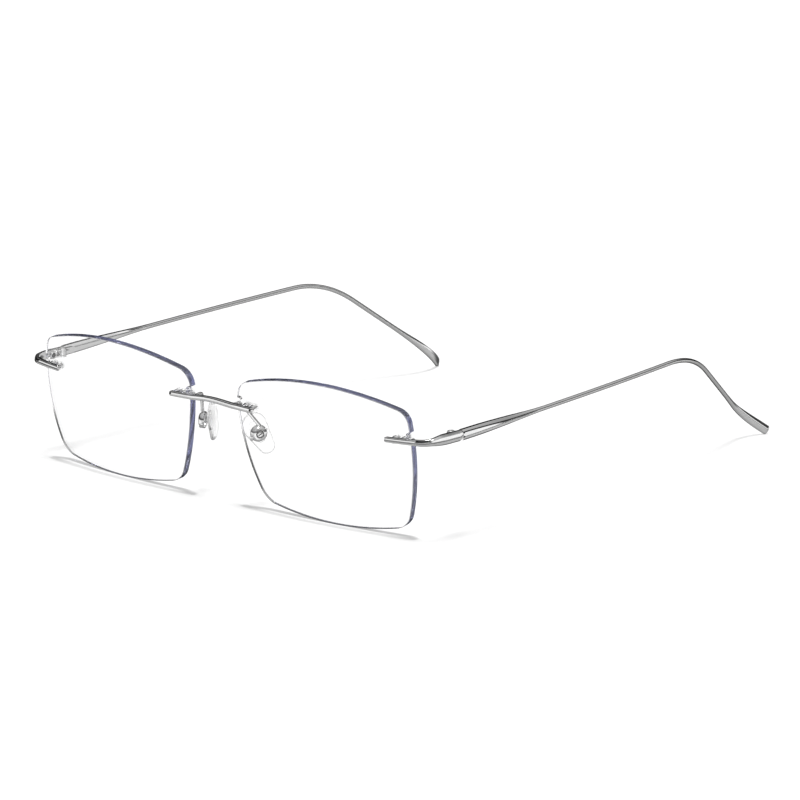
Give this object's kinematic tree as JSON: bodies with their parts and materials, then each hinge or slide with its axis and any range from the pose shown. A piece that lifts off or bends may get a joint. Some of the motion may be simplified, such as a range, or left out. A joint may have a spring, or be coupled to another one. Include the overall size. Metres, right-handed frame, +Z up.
{
  "type": "rimless eyeglasses",
  "caption": "Rimless three-piece eyeglasses with clear drilled lenses, thin polished bridge and folding temples, and rocking clear nose pads.",
  "frame": {"origin": "middle of the footprint, on the surface that the open glasses stand on", "axes": "+Z up, the lenses face -Y, the temples run back to +Y, and the wearer's left side is +X"},
  "size_m": [0.1392, 0.1551, 0.0371],
  "materials": {
    "polished_metal": "mirror-polished silver metal",
    "screw_steel": "bright turned steel",
    "lens": "clear polished lens with a faint violet edge",
    "clear_sleeve": "clear moulded plastic",
    "silicone": "clear soft silicone",
    "pad_core": "clear stiff plastic",
    "washer": "white low-friction plastic"
  },
  "bodies": {
    "front": {"bridge": "polished_metal", "lens_left": "lens", "lens_right": "lens", "sleeve_nasal_left": "clear_sleeve", "sleeve_nasal_right": "clear_sleeve", "sleeve_temporal_left": "clear_sleeve", "sleeve_temporal_right": "clear_sleeve", "endpiece_left": "polished_metal", "endpiece_right": "polished_metal", "leaf_screw_left": "screw_steel", "leaf_screw_right": "screw_steel", "corner_pin_left": "screw_steel", "corner_pin_right": "screw_steel", "front_leaf_left": "polished_metal", "front_leaf_right": "polished_metal", "hinge_screw_left": "screw_steel", "hinge_screw_right": "screw_steel", "hinge_washers_left": "washer", "hinge_washers_right": "washer", "pad_cup_left": "polished_metal", "pad_cup_right": "polished_metal", "pad_screw_left": "screw_steel", "pad_screw_right": "screw_steel", "pad_arm_left": "polished_metal", "pad_arm_right": "polished_metal"},
    "temple_left": {"temple_left": "polished_metal", "temple_leaf_left": "polished_metal"},
    "nose_pad_left": {"nose_pad_left": "silicone", "pad_insert_left": "pad_core"},
    "temple_right": {"temple_right": "polished_metal", "temple_leaf_right": "polished_metal"},
    "nose_pad_right": {"nose_pad_right": "silicone", "pad_insert_right": "pad_core"}
  },
  "joints": [
    {"name": "temple_left_fold", "type": "hinge", "parent": "front", "child": "temple_left", "pos_m": [0.0669, -0.06107, 0.0262], "axis": [0, 0, 1], "range_deg": [0, 85.5]},
    {"name": "temple_right_fold", "type": "hinge", "parent": "front", "child": "temple_right", "pos_m": [-0.0669, -0.06107, 0.0262], "axis": [0, 0, -1], "range_deg": [0, 80]},
    {"name": "nose_pad_left_rock", "type": "hinge", "parent": "front", "child": "nose_pad_left", "pos_m": [0.01017, -0.069, 0.01883], "axis": [0.4363, 0.7399, 0.512], "range_deg": [-8, 8]},
    {"name": "nose_pad_right_rock", "type": "hinge", "parent": "front", "child": "nose_pad_right", "pos_m": [-0.01017, -0.069, 0.01883], "axis": [-0.4363, 0.7399, 0.512], "range_deg": [-8, 8]}
  ]
}
